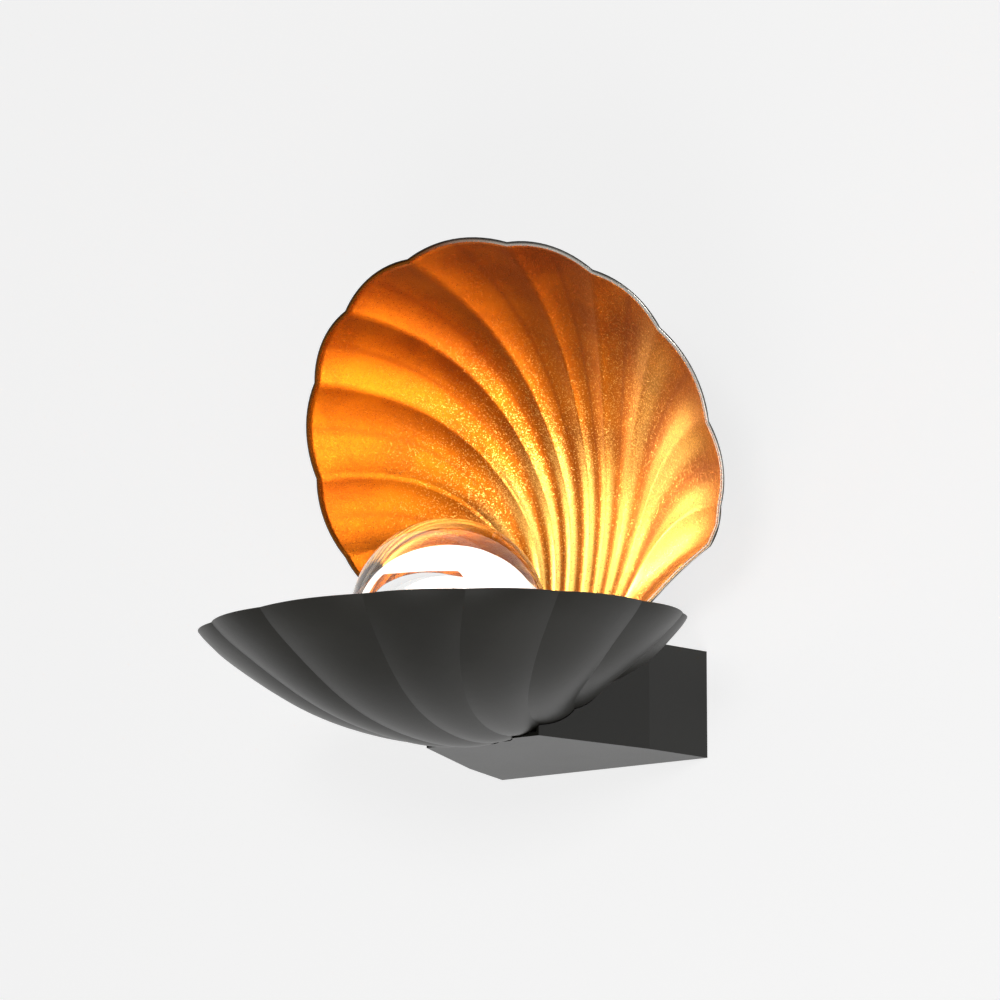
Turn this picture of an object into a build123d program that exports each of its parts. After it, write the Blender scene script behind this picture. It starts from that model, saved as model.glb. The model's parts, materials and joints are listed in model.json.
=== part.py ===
"""Shell wall sconce: two scalloped bowls hinged open like a clam on a tapered wall arm,
with a thick clear glass globe over two pin-base capsule lamps.

Frame: millimetres, +Z up, wall face at Y = 0, room side towards -Y, +X to the right when
looking at the wall.  The origin is the centre of the wall fixings.
"""
from build123d import *
from math import cos, pi, radians, sin, sqrt
import os

# ---------------------------------------------------------------- shell casting
HINGE_REACH = 90.0        # rim centre to the square hinge end
HINGE_HALF = 33.0         # half width of the hinge end
RIM_RADIUS = 120.0        # mean rim radius, notch to notch
RIM_SHAPE = (0.015, 0.003, -0.016)      # first three cosine terms of the notch radius
RIM_BULGE = 0.022         # how far each lobe swells past its notches, share of the radius
NOTCH_ANGLES = (0.0, 14.6, 38.2, 59.4, 83.8, 104.5)   # degrees from the tip, at NOTCH_LOBES
NOTCH_LOBES = (0.0, 0.5, 1.5, 2.5, 3.5, 4.5)          # lobe coordinate of each notch
LAST_NOTCH_RADIUS = 118.5
SIDE_CORNER = (60.0, 16.2 - HINGE_REACH)              # where the straight flank of the rim begins
CORNER_BULGE = 7.7        # rounded shoulder between the last notch and the flank
EDGE_LOBE = 5.5           # lobe coordinate of the straight flank
RIDGE_LEAN = 0.025        # sideways start of a ridge at the hinge end, grows with the lobe
RIDGE_LEAN_POWER = 1.84
RIDGE_LEAVE = (0.0, 17.1, 48.4, 61.1, 79.0, 83.8, 55.0)   # degrees, ridge heading at the rim
RIDGE_SPREAD_POWER = 0.81               # spacing of the ridges along the hinge end
BOWL_RISE = 48.7          # depth of the arched bowl over a straight line from hinge to rim
END_DEPTH = 13.5          # depth of the casting at its hinge end
CROWN_PLACE = (0.472, -0.0035)          # deepest place along a ridge, and its shift outwards
CROWN_POWER = 0.70        # how full the bowl is from side to side
ARCH_POWER = (2.15, 2.3)  # how full the arch is behind and in front of its deepest place
SWELL_HINGE = 0.17        # swell of a lobe between two ridges near the hinge, share of its width
SWELL_RIM = 0.03          # the same towards the rim
SWELL_FADE = (2.5, 6)     # how fast the two fade out towards the rim
SHOULDER_SWELL = 0.6      # share of that swell on the two short end lobes
SHELL_WALL = 2.0
STATIONS = (0.0, 0.1, 0.22, 0.36, 0.5, 0.64, 0.78, 0.9, 1.0)   # cross sections of the loft

# ---------------------------------------------------------------- how the bowls stand
HINGE_TO_WALL = 40.0      # wall to the hinge ends
HINGE_ABOVE_ARM = 0.5     # lower bowl's hinge end above the arm's top
BOWL_GAP = 2.3            # between the two hinge ends
LOWER_DIP = 1.5           # degrees, nose down
UPPER_LEAN = 25.2         # degrees, forward from upright

# ---------------------------------------------------------------- wall arm
ARM_HEIGHT = 54.0
ARM_HALF_BACK = 62.7      # half width at the wall
ARM_HALF_BEND = 54.7      # half width at the bend of the side walls
ARM_BEND = 40.0           # wall to the bend
ARM_FRONT = 106.0         # wall to the arm's front end, under the bowl
ARM_TAPER = 0.317         # inward run of the front side walls per millimetre of depth
SHEET = 2.0
SADDLE_GAP = 0.4          # between the bowl and the saddle cut in the arm

# ---------------------------------------------------------------- wall bracket
BRACKET_HALF = 54.0
BRACKET_SHEET = 1.8
BRACKET_GAP = 0.3         # bracket flanges inside the arm
FLANGE_DEPTH = 15.0
WALL_SLOT_SPACING = 90.0
WALL_SLOT_LENGTH = 12.0
WALL_SLOT_WIDTH = 5.0
CABLE_HOLE_R = 9.0
GROMMET_BORE_R = 5.5
GROMMET_FLANGE_R = 11.0
GROMMET_LIP = 1.4         # flange and body in front of the bracket's sheet
ARM_SCREW_X = 38.0
ARM_SCREW_Y = 8.5

# ---------------------------------------------------------------- upper bowl's angle bracket
ANGLE_HALF = 18.0
ANGLE_SHEET = 3.0
ANGLE_FRONT = 33.0        # wall to the front edge of the foot
ANGLE_FACE = 18.4         # wall to the leg's front face
ANGLE_TOP = 34.0          # leg height above the arm
PAD_HALF = 14.5           # cast pad on the back of the upper bowl
PAD_LOW = 10.0            # above the arm
PAD_HIGH = 32.0
PAD_DEPTH = 12.0
PAD_GAP = 0.1
ANGLE_SCREW_X = 9.0
LEG_SCREW_Z = 21.0        # above the arm
FOOT_SCREW_Y = 26.5       # from the wall

# ---------------------------------------------------------------- lower bowl's fixings
POST_X = 16.0
POST_AHEAD = 32.0         # in front of the hinge end
POST_R = 5.0
POST_FLOOR = 1.5          # solid metal under the post's tapped hole
POST_TIP_GAP = 1.3        # screw tip over that
BOSS_R = 5.6
BOSS_TOP_DROP = 31.5      # hinge end down to the boss's top
BOSS_FOOT_DROP = 43.7

# ---------------------------------------------------------------- lamp cup and globe
LAMP_AHEAD = 4.5          # lamp centre in front of the rim's centre
CUP_SEAT_DROP = 49.5      # hinge end down to the flat of the cast pad under the cup
CUP_PAD_R = 28.5
CUP_R = 27.0
CUP_WALL = 1.6
CUP_FLOOR = 2.0
CUP_HEIGHT = 7.3
RING_GAP = 0.2            # ring's skirt round the cup
RING_THICK = 2.0
RING_SKIRT = 3.6
RING_EDGE = 0.6           # bevel round its top
COLLAR_HEIGHT = 8.5
COLLAR_WALL = 1.8
GASKET_THICK = 2.0
GLOBE_R = 48.2
GLOBE_CUT = 41.9          # globe centre down to its ground foot
GLOBE_BORE_R = 20.0
COLLAR_GAP = 0.4          # collar inside the globe's bore
CAVITY_WIDE = 41.0        # half width of the hollow in the glass
CAVITY_HIGH = 32.5        # half height of the hollow
LINER_GAP = 0.2
LINER_THICK = 0.8
GLOBE_LIFT_GAP = 0.05     # globe's foot over the gasket

# ---------------------------------------------------------------- lamps and holders
LAMP_PITCH = 16.0
LAMP_GLASS_R = 6.8
LAMP_GLASS_WALL = 0.8
LAMP_HEIGHT = 46.7        # base and capsule
LAMP_BASE_HEIGHT = 11.0
LAMP_BASE_WIDE = 9.0
LAMP_BASE_LONG = 13.6
PIN_SPACING = 9.0
PIN_R = 0.7
PIN_LENGTH = 7.0
PIN_GAP = 0.45
LAMP_SEAT_GAP = 0.1
FILAMENT_R = 0.9
FILAMENT_LENGTH = 15.0
FILAMENT_WIRE_R = 0.35
HOLDER_WIDE = 13.0
HOLDER_LONG = 17.0
HOLDER_HEIGHT = 17.0
RIVET_R = 1.25
RIVET_HEAD_R = 2.2
RIVET_HEAD = 0.8
RIVET_WELL = 3.0          # depth of the well in the holder's top
LAMP_BRIDGE_THICK = 1.4
LAMP_BRIDGE_HALF_X = 14.6
LAMP_BRIDGE_HALF_Y = 9.6
LAMP_BRIDGE_FOOT = 9.2    # length of each foot
LAMP_BRIDGE_FOOT_HALF = 5.0
LAMP_BRIDGE_RISE = 6.2    # cup floor to the top of the bridge
CUP_SCREW_X = 19.6

# ---------------------------------------------------------------- wiring
LEAD_R = 0.85
SLEEVE_R = 2.2
SLEEVE_BORE_R = 1.95
SLEEVE_DROP = 44.8        # hinge end down to the sleeve
SLEEVE_SHORT = 22.5       # lamp centre back to the sleeve's front end
SLEEVE_AHEAD = 26.0       # sleeve's back end in front of the hinge end
LEAD_SPREAD = 0.95
LEAD_TURN_Y = 38.0        # wall to the leads' upward turn in the arm
LEAD_LOOP = 14.0          # leads' crest in front of their terminals
BUSH_R = 3.7              # silicone bush round the sleeve, where it passes the bowl
BUSH_BORE_R = 2.25
BUSH_FRONT_AHEAD = 52.5   # in front of the hinge end
BUSH_BACK_AHEAD = 29.0
NOTCH_GAP = 0.6           # sleeve to the notches in the cup and the ring
BLOCK_LEFT = 14.0         # terminal block's left face
BLOCK_POLE = 7.5
BLOCK_POLES = 3
BLOCK_DEPTH = 14.0
BLOCK_LONG = 20.0
TERMINAL_BORE_R = 1.75
CLAMP_R = 1.5
EARTH_X = -26.0
EARTH_Z = 4.0

# ---------------------------------------------------------------- fasteners: shank, head, head height
M3 = (1.45, 2.8, 1.9)
M4 = (1.95, 3.8, 2.5)
TAP_GAP = 0.05            # a tapped hole is modelled at the shank's radius plus this
CLEAR_GAP = 0.3
NUT_THICK = 3.2
NUT_ACROSS = 7.0

# ---------------------------------------------------------------- places that follow from the sizes
ARM_TOP = ARM_HEIGHT / 2
ARM_FLOOR = -ARM_HEIGHT / 2 + SHEET
HINGE_Z = ARM_TOP + HINGE_ABOVE_ARM
POST_Y = HINGE_TO_WALL + POST_AHEAD
BOSS_TOP = HINGE_Z - BOSS_TOP_DROP
BOSS_FOOT = HINGE_Z - BOSS_FOOT_DROP
LAMP_Y = HINGE_TO_WALL + HINGE_REACH + LAMP_AHEAD
CUP_SEAT = HINGE_Z - CUP_SEAT_DROP
SLEEVE_Z = HINGE_Z - SLEEVE_DROP
SLEEVE_FRONT = LAMP_Y - SLEEVE_SHORT
SLEEVE_BACK = HINGE_TO_WALL + SLEEVE_AHEAD
BUSH_FRONT = HINGE_TO_WALL + BUSH_FRONT_AHEAD
BUSH_BACK = HINGE_TO_WALL + BUSH_BACK_AHEAD
CUP_TOP = CUP_SEAT + CUP_HEIGHT
RING_TOP = CUP_TOP + RING_THICK
GLOBE_Z = RING_TOP + GASKET_THICK + GLOBE_LIFT_GAP + GLOBE_CUT
BRIDGE_TOP = CUP_SEAT + CUP_FLOOR + LAMP_BRIDGE_RISE
HOLDER_TOP = BRIDGE_TOP + HOLDER_HEIGHT
LAMP_FOOT = HOLDER_TOP + LAMP_SEAT_GAP
LAMP_TOP = LAMP_FOOT + LAMP_HEIGHT
LAMP_XS = (-LAMP_PITCH / 2, LAMP_PITCH / 2)
SIDES = (-1, 1)


def between(x, xs, ys):
    """Straight-line interpolation of ys over xs."""
    for x0, x1, y0, y1 in zip(xs, xs[1:], ys, ys[1:]):
        if x <= x1:
            return y0 + (y1 - y0) * (x - x0) / (x1 - x0)
    return ys[-1]


# ---------------------------------------------------------------- the scalloped casting
# A bowl is described in its own frame: rim plane at Z = 0, +Y from the hinge end to the tip,
# depth along +Z.  A "lobe coordinate" runs across it: whole numbers lie on the lobes' crowns,
# halves on the ridges between them, EDGE_LOBE on the straight flanks.

def notch_radius(angle):
    """Rim radius through the notches, at an angle from the tip."""
    waves = sum(a * cos(k * angle) for k, a in enumerate(RIM_SHAPE, start=1))
    return RIM_RADIUS * (1 + waves)


def rim_point(lobe, inset):
    """Point of the rim at a lobe coordinate, moved inwards by inset."""
    last = radians(NOTCH_ANGLES[-1])
    if lobe <= NOTCH_LOBES[-1]:
        angle = radians(between(lobe, NOTCH_LOBES, NOTCH_ANGLES))
        radius = notch_radius(angle)
        if lobe > NOTCH_LOBES[-2]:
            start = notch_radius(radians(NOTCH_ANGLES[-2]))
            radius = start + (LAST_NOTCH_RADIUS - start) * (lobe - NOTCH_LOBES[-2])
        radius *= 1 + RIM_BULGE * sin(pi * ((lobe + 0.5) % 1))
        return Vector(sin(angle), cos(angle)) * (radius - inset)
    start = Vector(sin(last), cos(last)) * LAST_NOTCH_RADIUS
    corner = Vector(*SIDE_CORNER)
    along = (corner - start).normalized()
    outward = Vector(-along.Y, along.X)
    share = lobe - NOTCH_LOBES[-1]
    bulge = CORNER_BULGE * between(share, (0, 0.12, 0.3, 0.65, 1), (0, 0.62, 1, 0.36, 0))
    inward = Vector(sin(last), cos(last)) if share < 0.2 else outward
    return start + (corner - start) * share + outward * bulge - inward * inset


def hinge_point(lobe, inset):
    """Point of the square hinge end at a lobe coordinate."""
    flank = Vector(SIDE_CORNER[0] - HINGE_HALF, SIDE_CORNER[1] + HINGE_REACH).normalized()
    half = HINGE_HALF - inset * (1 - flank.X) / flank.Y
    return Vector(half * (lobe / EDGE_LOBE) ** RIDGE_SPREAD_POWER, inset - HINGE_REACH)


def plan_line(lobe, inset):
    """Plan of the line that one lobe coordinate draws from the hinge end to the rim."""
    start, end = hinge_point(lobe, inset), rim_point(lobe, inset)
    if lobe == 0:
        return Edge.make_line(start, end)
    lean = RIDGE_LEAN * lobe ** RIDGE_LEAN_POWER
    leave = radians(between(lobe, NOTCH_LOBES + (EDGE_LOBE,), RIDGE_LEAVE))
    gap = end - start
    reach = (gap.X * cos(leave) - gap.Y * sin(leave)) / (lean * cos(leave) - sin(leave))
    return Edge.make_bezier(start, start + Vector(lean, 1) * reach, end)


def bowl_depth(lobe, share, inset):
    """Depth below the rim plane at a share of the way from the hinge end to the rim."""
    across = max(1 - (lobe / EDGE_LOBE) ** 2, 0)
    crown = CROWN_PLACE[0] + CROWN_PLACE[1] * lobe ** 2
    if share < crown:
        arch = 1 - (1 - share / crown) ** ARCH_POWER[0]
    else:
        arch = 1 - ((share - crown) / (1 - crown)) ** ARCH_POWER[1]
    arch *= (BOWL_RISE - inset / 2) * across ** CROWN_POWER
    return arch + (END_DEPTH - inset) * across * (1 - share)


def lobe_swell(lobe, share):
    """Swell of a lobe between its two ridges, as a share of its width there."""
    swell = SWELL_HINGE * (1 - share) ** SWELL_FADE[0] + SWELL_RIM * (1 - share ** SWELL_FADE[1])
    return swell * (SHOULDER_SWELL if abs(lobe) > NOTCH_LOBES[-1] else 1)


def lobe_spans():
    """Arcs of a cross section, each as the lobe coordinates of its start, middle and end."""
    half = [(n - 0.5, float(n), n + 0.5) for n in range(1, 5)]
    half += [(4.5, 4.62, 4.8), (4.8, 5.15, EDGE_LOBE)]
    left = [(-c, -b, -a) for a, b, c in reversed(half)]
    return left + [(-0.5, 0.0, 0.5)] + half


def solid_bowl(inset):
    """The casting's outer form, filled to its rim plane, or its hollow where inset > 0."""
    spans = lobe_spans()
    plans = {abs(w): plan_line(abs(w), inset) for span in spans for w in span}
    sections = []
    for share in STATIONS:
        def place(lobe):
            plan = plans[abs(lobe)].position_at(share)
            side = -1 if lobe < 0 else 1
            return Vector(side * plan.X, plan.Y, bowl_depth(abs(lobe), share, inset))

        arcs = []
        for low, middle, high in spans:
            start, end = place(low), place(high)
            rise = lobe_swell(middle, share) * (end - start).length
            arcs.append(Edge.make_three_point_arc(start, place(middle) + Vector(0, 0, rise), end))
        arcs.append(Edge.make_line(place(EDGE_LOBE), place(-EDGE_LOBE)))
        sections.append(Wire(arcs))
    return Solid.make_loft(sections)


def lower_plane():
    """Frame of the lower bowl: its tip points into the room, its depth downwards."""
    dip = radians(LOWER_DIP)
    hinge = Vector(0, -HINGE_TO_WALL, HINGE_Z)
    tip = Vector(0, -cos(dip), -sin(dip))
    return Plane(hinge + tip * HINGE_REACH, x_dir=(1, 0, 0), z_dir=Vector(1, 0, 0).cross(tip))


def upper_plane():
    """Frame of the upper bowl: its tip points up and forward, its depth towards the wall."""
    lean = radians(UPPER_LEAN)
    hinge = Vector(0, -HINGE_TO_WALL, HINGE_Z + BOWL_GAP)
    tip = Vector(0, -sin(lean), cos(lean))
    return Plane(hinge + tip * HINGE_REACH, x_dir=(-1, 0, 0), z_dir=Vector(-1, 0, 0).cross(tip))


# ---------------------------------------------------------------- small helpers

def box(x0, x1, y0, y1, z0, z1):
    """Block between two corners."""
    centre = ((x0 + x1) / 2, (y0 + y1) / 2, (z0 + z1) / 2)
    return Pos(*centre) * Box(x1 - x0, y1 - y0, z1 - z0)


def rod(start, end, radius):
    """Round bar from one point to another."""
    start, end = Vector(*start), Vector(*end)
    return Solid.make_cylinder(radius, (end - start).length, Plane(start, z_dir=end - start))


def screw(seat, direction, length, size):
    """Pan-head screw: seat is the centre of the head's underside, direction is the shank's."""
    shank_r, head_r, head_high = size
    seat, direction = Vector(*seat), Vector(*direction).normalized()
    head = Solid.make_cylinder(head_r, head_high, Plane(seat, z_dir=-direction))
    head = fillet(head.edges().filter_by(GeomType.CIRCLE).sort_by_distance(seat)[-1], head_high * 0.55)
    slot = Box(head_r * 3, head_high * 0.35, head_high)
    turned = Plane(seat - direction * head_high, z_dir=direction)
    return head + rod(seat, seat + direction * length, shank_r) - turned.location * slot


def nut(centre, direction):
    """Hexagon nut whose bearing face is centred on a point, with its tapped bore."""
    plane = Plane(centre, z_dir=direction)
    profile = RegularPolygon(NUT_ACROSS / sqrt(3), 6) - Circle(M4[0] + TAP_GAP)
    return plane.location * extrude(profile, NUT_THICK)


def tube_along(points, radii, radius):
    """Round lead along straight runs joined by tangent arcs."""
    path = FilletPolyline(*points, radius=radii)
    profile = Plane(path @ 0, z_dir=path % 0) * Circle(radius)
    return sweep(profile, path=path)


# ---------------------------------------------------------------- wall bracket and arm

def wall_bracket():
    """Channel that lies on the wall: web with slots and cable hole, flanges inside the arm."""
    high = ARM_HEIGHT / 2 - SHEET - BRACKET_GAP
    outer = box(-BRACKET_HALF, BRACKET_HALF, -FLANGE_DEPTH, 0, -high, high)
    trough = box(-BRACKET_HALF, BRACKET_HALF, -FLANGE_DEPTH, -BRACKET_SHEET,
                 BRACKET_SHEET - high, high - BRACKET_SHEET)
    bracket = outer - trough
    for side in SIDES:
        slot = extrude(SlotOverall(WALL_SLOT_LENGTH, WALL_SLOT_WIDTH), 2 * SHEET, both=True)
        bracket -= Pos(side * WALL_SLOT_SPACING / 2, 0, 0) * Rot(90, 0, 0) * slot
        bracket -= rod((side * ARM_SCREW_X, -ARM_SCREW_Y, 0), (side * ARM_SCREW_X, -ARM_SCREW_Y, ARM_HEIGHT),
                       M4[0] + TAP_GAP)
    bracket -= rod((0, -SHEET * 2, 0), (0, SHEET, 0), CABLE_HOLE_R)
    bracket -= rod((EARTH_X, -SHEET * 2, EARTH_Z), (EARTH_X, SHEET, EARTH_Z), M4[0] + TAP_GAP)
    bracket -= rod((block_centre_x(), -SHEET * 2, 0), (block_centre_x(), SHEET, 0), M3[0] + TAP_GAP)
    return bracket


def arm_outline(inset, back):
    """Plan of the arm: wall, bend, tapered nose."""
    nose = ARM_HALF_BEND - ARM_TAPER * (ARM_FRONT - ARM_BEND)
    front = -ARM_FRONT if inset == 0 else -ARM_FRONT - SHEET
    half = [(ARM_HALF_BACK - inset, back), (ARM_HALF_BEND - inset, -ARM_BEND), (nose - inset, front)]
    points = half + [(-x, y) for x, y in reversed(half)]
    return make_face(Polyline(*points, close=True))


def saddle_cutters(plane):
    """The lower bowl's outer form with clearance, and the open space over its two rim faces."""
    form = solid_bowl(-SADDLE_GAP)
    rim_faces = form.faces().sort_by(Axis.Z)[:2]
    over_rim = [extrude(face, SHEET * 3, dir=(0, 0, -1)) for face in rim_faces]
    return [plane.location * cutter for cutter in (form, *over_rim)]


def arm_housing(plane):
    """Folded sheet arm, open at the wall, with a saddle cut for the lower bowl."""
    solid = extrude(arm_outline(0, 0), ARM_HEIGHT / 2, both=True)
    edges = solid.edges().filter_by(Axis.Z).sort_by(Axis.Y)
    solid = fillet(edges[2:4], SHEET)
    hollow = extrude(arm_outline(SHEET, SHEET), ARM_HEIGHT / 2 - SHEET, both=True)
    arm = solid - hollow
    for cutter in saddle_cutters(plane):
        arm -= cutter
    for side in SIDES:
        for x, y in ((ARM_SCREW_X, -ARM_SCREW_Y), (ANGLE_SCREW_X, -FOOT_SCREW_Y)):
            arm -= rod((side * x, y, 0), (side * x, y, ARM_HEIGHT), M4[0] + CLEAR_GAP)
    return max(arm.solids(), key=lambda s: s.volume)


def cable_grommet():
    """Rubber grommet in the bracket's cable hole."""
    front = -BRACKET_SHEET - GROMMET_LIP
    body = rod((0, front, 0), (0, 0, 0), CABLE_HOLE_R)
    body += rod((0, front, 0), (0, -BRACKET_SHEET, 0), GROMMET_FLANGE_R)
    return body - rod((0, front - 1, 0), (0, 1, 0), GROMMET_BORE_R)


def arm_screws():
    """Two screws that lock the arm on the wall bracket."""
    return [screw((side * ARM_SCREW_X, -ARM_SCREW_Y, ARM_TOP), (0, 0, -1), 8, M4) for side in SIDES]


# ---------------------------------------------------------------- bowls and what holds them

def lower_shell(plane):
    """Lower bowl with its lamp pad, two fixing bosses and the slanting hole for the leads."""
    outer, hollow = plane.location * solid_bowl(0), plane.location * solid_bowl(SHELL_WALL)
    pad = rod((0, -LAMP_Y, -ARM_HEIGHT), (0, -LAMP_Y, CUP_SEAT), CUP_PAD_R)
    shell = (outer - hollow) + (pad & outer)
    for side in SIDES:
        at = (side * POST_X, -POST_Y)
        shell += rod((*at, BOSS_FOOT), (*at, BOSS_TOP), BOSS_R)
        shell -= rod((*at, BOSS_FOOT - 1), (*at, BOSS_TOP + 1), M4[0] + CLEAR_GAP)
        tapped = (side * CUP_SCREW_X, -LAMP_Y)
        shell -= rod((*tapped, CUP_SEAT - 5), (*tapped, CUP_SEAT + 1), M3[0] + TAP_GAP)
    shell -= rod((0, -SLEEVE_FRONT, SLEEVE_Z), (0, -SLEEVE_BACK, SLEEVE_Z), BUSH_R + TAP_GAP)
    return max(shell.solids(), key=lambda s: s.volume)


def upper_shell(plane):
    """Upper bowl with the cast pad on its back that takes the angle bracket's screws."""
    outer, hollow = plane.location * solid_bowl(0), plane.location * solid_bowl(SHELL_WALL)
    face = -ANGLE_FACE - PAD_GAP
    pad = box(-PAD_HALF, PAD_HALF, face - PAD_DEPTH, face, ARM_TOP + PAD_LOW, ARM_TOP + PAD_HIGH)
    pad = fillet(pad.edges().filter_by(Axis.Y), 4)
    shell = outer + pad - hollow
    for side in SIDES:
        x, z = side * ANGLE_SCREW_X, ARM_TOP + LEG_SCREW_Z
        shell -= rod((x, face - 5.2, z), (x, face + 1, z), M4[0] + TAP_GAP)
    return max(shell.solids(), key=lambda s: s.volume)


def angle_bracket():
    """Bent angle on the arm's top: foot under the upper bowl, leg up its back, two gussets."""
    back = -ANGLE_FACE + ANGLE_SHEET
    foot = box(-ANGLE_HALF, ANGLE_HALF, -ANGLE_FRONT, back, ARM_TOP, ARM_TOP + ANGLE_SHEET)
    leg = box(-ANGLE_HALF, ANGLE_HALF, -ANGLE_FACE, back, ARM_TOP, ARM_TOP + ANGLE_TOP)
    leg = fillet(leg.edges().filter_by(Axis.Y).sort_by(Axis.Z)[2:], 6)
    bracket = foot + leg
    bend = bracket.edges().filter_by(Axis.X).sort_by_distance((0, back, ARM_TOP))[0]
    bracket = fillet(bend, ANGLE_SHEET)
    for side in SIDES:
        x = side * ANGLE_SCREW_X
        bracket -= rod((x, -FOOT_SCREW_Y, 0), (x, -FOOT_SCREW_Y, ARM_HEIGHT), M4[0] + CLEAR_GAP)
        z = ARM_TOP + LEG_SCREW_Z
        bracket -= rod((x, -ANGLE_FRONT, z), (x, 0, z), M4[0] + CLEAR_GAP)
    return bracket


def foot_screws():
    """Two screws through the angle's foot and the arm's top."""
    top = ARM_TOP + ANGLE_SHEET
    return [screw((s * ANGLE_SCREW_X, -FOOT_SCREW_Y, top), (0, 0, -1), 10, M4) for s in SIDES]


def foot_nuts():
    """Two nuts under the arm's top."""
    return [nut((s * ANGLE_SCREW_X, -FOOT_SCREW_Y, ARM_TOP - SHEET), (0, 0, -1)) for s in SIDES]


def upper_shell_screws():
    """Two screws from behind the leg into the upper bowl's pad."""
    back = -ANGLE_FACE + ANGLE_SHEET
    z = ARM_TOP + LEG_SCREW_Z
    return [screw((s * ANGLE_SCREW_X, back, z), (0, -1, 0), 8, M4) for s in SIDES]


def shell_posts():
    """Two tapped posts pressed into the arm's floor, under the lower bowl's bosses."""
    posts = []
    for side in SIDES:
        at = (side * POST_X, -POST_Y)
        post = rod((*at, ARM_FLOOR), (*at, BOSS_FOOT), POST_R)
        posts.append(post - rod((*at, ARM_FLOOR + POST_FLOOR), (*at, BOSS_TOP), M4[0] + TAP_GAP))
    return posts


def lower_shell_screws():
    """Two screws from inside the lower bowl into the posts."""
    length = BOSS_TOP - (ARM_FLOOR + POST_FLOOR + POST_TIP_GAP)
    return [screw((s * POST_X, -POST_Y, BOSS_TOP), (0, 0, -1), length, M4) for s in SIDES]


# ---------------------------------------------------------------- lamp cup, ring, globe

def turned(points):
    """Solid of revolution about the lamp axis from an outline of radius and height."""
    face = make_face(Polyline(*[(r, 0, z) for r, z in points], close=True))
    return Pos(0, -LAMP_Y, 0) * revolve(face, Axis.Z)


def lamp_cup():
    """Turned cup that stands on the lower bowl's pad."""
    inner = CUP_R - CUP_WALL
    floor = CUP_SEAT + CUP_FLOOR
    outside = [(0, CUP_SEAT), (CUP_R, CUP_SEAT), (CUP_R, CUP_TOP)]
    inside = [(inner, CUP_TOP), (inner, floor), (0, floor)]
    cup = turned(outside + inside)
    for side in SIDES:
        at = (side * CUP_SCREW_X, -LAMP_Y)
        cup -= rod((*at, CUP_SEAT - 1), (*at, floor + 1), M3[0] + CLEAR_GAP)
    return cup - sleeve_notch(CUP_TOP + 1)


def sleeve_notch(top):
    """Notch for the lead sleeve at the back of the cup and of the ring's skirt, open at its top."""
    half = SLEEVE_R + NOTCH_GAP
    back = -LAMP_Y + CUP_R
    return box(-half, half, back - 3 * CUP_WALL, back + 3 * CUP_WALL, SLEEVE_Z - half, top)


def globe_ring():
    """Ring over the cup: skirt outside, flat for the gasket, collar up into the globe's bore."""
    low, top = CUP_TOP, RING_TOP
    skirt_in, skirt_out = CUP_R + RING_GAP, CUP_R + RING_GAP + CUP_WALL
    collar_out = GLOBE_BORE_R - COLLAR_GAP
    collar_in = collar_out - COLLAR_WALL
    skirt = [(skirt_in, low), (skirt_in, low - RING_SKIRT), (skirt_out, low - RING_SKIRT)]
    edge = [(skirt_out, top - RING_EDGE), (skirt_out - RING_EDGE, top), (collar_out, top)]
    collar = [(collar_out, top + COLLAR_HEIGHT), (collar_in, top + COLLAR_HEIGHT)]
    ring = turned([(collar_in, low)] + skirt + edge + collar)
    return ring - sleeve_notch(low)


def globe_gasket():
    """Flat silicone ring between the ring and the globe's foot."""
    foot_r = sqrt(GLOBE_R ** 2 - GLOBE_CUT ** 2)
    inner = GLOBE_BORE_R - COLLAR_GAP + 0.2
    return turned([(inner, RING_TOP), (foot_r, RING_TOP), (foot_r, RING_TOP + GASKET_THICK),
                   (inner, RING_TOP + GASKET_THICK)])


def half_ellipse(wide, high, low):
    """Outline of half an ellipse about the globe's centre, cut flat at a height below it."""
    face = scale(Circle(1), by=(wide, high, 1))
    keep = Pos(wide, 0, 0) * Rectangle(2 * wide, 4 * high)
    floor = Pos(0, low - 2 * high, 0) * Rectangle(4 * wide, 4 * high)
    return face & keep - floor


def revolve_profile(face):
    """Turn a profile, drawn with its axis on Y, about the lamp axis at the globe's centre."""
    return Pos(0, -LAMP_Y, GLOBE_Z) * revolve(Rot(90, 0, 0) * face, Axis.Z)


def globe():
    """Thick clear globe: ground flat foot, straight bore, wide low hollow."""
    ball = half_ellipse(GLOBE_R, GLOBE_R, -GLOBE_CUT)
    hollow = half_ellipse(CAVITY_WIDE, CAVITY_HIGH, -CAVITY_HIGH)
    bore = Pos(GLOBE_BORE_R / 2, -GLOBE_CUT / 2, 0) * Rectangle(GLOBE_BORE_R, GLOBE_CUT)
    return revolve_profile(ball - hollow - bore)


def globe_liner():
    """Thin white glass layer on the wall side of the hollow."""
    outer = half_ellipse(CAVITY_WIDE - LINER_GAP, CAVITY_HIGH - LINER_GAP, -CAVITY_HIGH * 0.8)
    inset = LINER_GAP + LINER_THICK
    inner = half_ellipse(CAVITY_WIDE - inset, CAVITY_HIGH - inset, -CAVITY_HIGH)
    layer = revolve_profile(outer - inner)
    front = box(-GLOBE_R, GLOBE_R, -LAMP_Y - GLOBE_R, -LAMP_Y, GLOBE_Z - GLOBE_R, GLOBE_Z + GLOBE_R)
    return layer - front


# ---------------------------------------------------------------- lamps and their holders

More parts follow.
